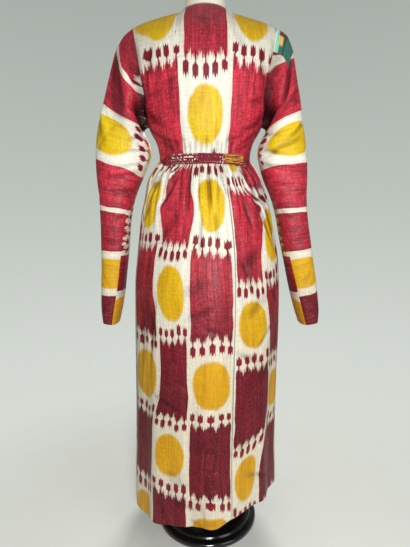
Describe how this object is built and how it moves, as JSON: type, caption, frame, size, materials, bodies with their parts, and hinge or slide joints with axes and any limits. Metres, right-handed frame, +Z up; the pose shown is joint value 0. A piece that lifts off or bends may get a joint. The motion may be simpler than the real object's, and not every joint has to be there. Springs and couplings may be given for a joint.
{
  "type": "ikat robe on a dress form",
  "caption": "Fitted Central Asian ikat robe, open down the front, with long narrow sleeves and a gathered skirt, on a limbless dress form with a round base.",
  "frame": {"origin": "centre of the round base's underside, on the floor", "axes": "+Z up, -Y the way the robe's open front faces, +X the wearer's left"},
  "size_m": [0.5937, 0.39, 1.474],
  "materials": {
    "ikat_cloth": "polished silk and cotton ikat, burgundy, yellow and cream",
    "ikat_strip": "the same ikat, shirred with rows of stitching",
    "green_ikat": "another ikat, green, burgundy and orange",
    "binding": "overcast rolled edge, burgundy and cream thread",
    "form_jersey": "cream jersey stretched over a smooth form",
    "black_gloss": "gloss black enamel"
  },
  "bodies": {
    "root": {"bodice_back": "ikat_cloth", "bodice_front_left": "ikat_cloth", "bodice_front_right": "ikat_cloth", "sleeve_left": "ikat_cloth", "sleeve_right": "ikat_cloth", "sleeve_patch_right": "green_ikat", "waist_strip": "ikat_strip", "skirt_back_left": "ikat_cloth", "skirt_back_right": "ikat_cloth", "skirt_front_left": "ikat_cloth", "skirt_front_right": "ikat_cloth", "neck_binding": "binding", "dress_form": "form_jersey", "pole": "black_gloss", "base": "black_gloss"}
  },
  "joints": []
}
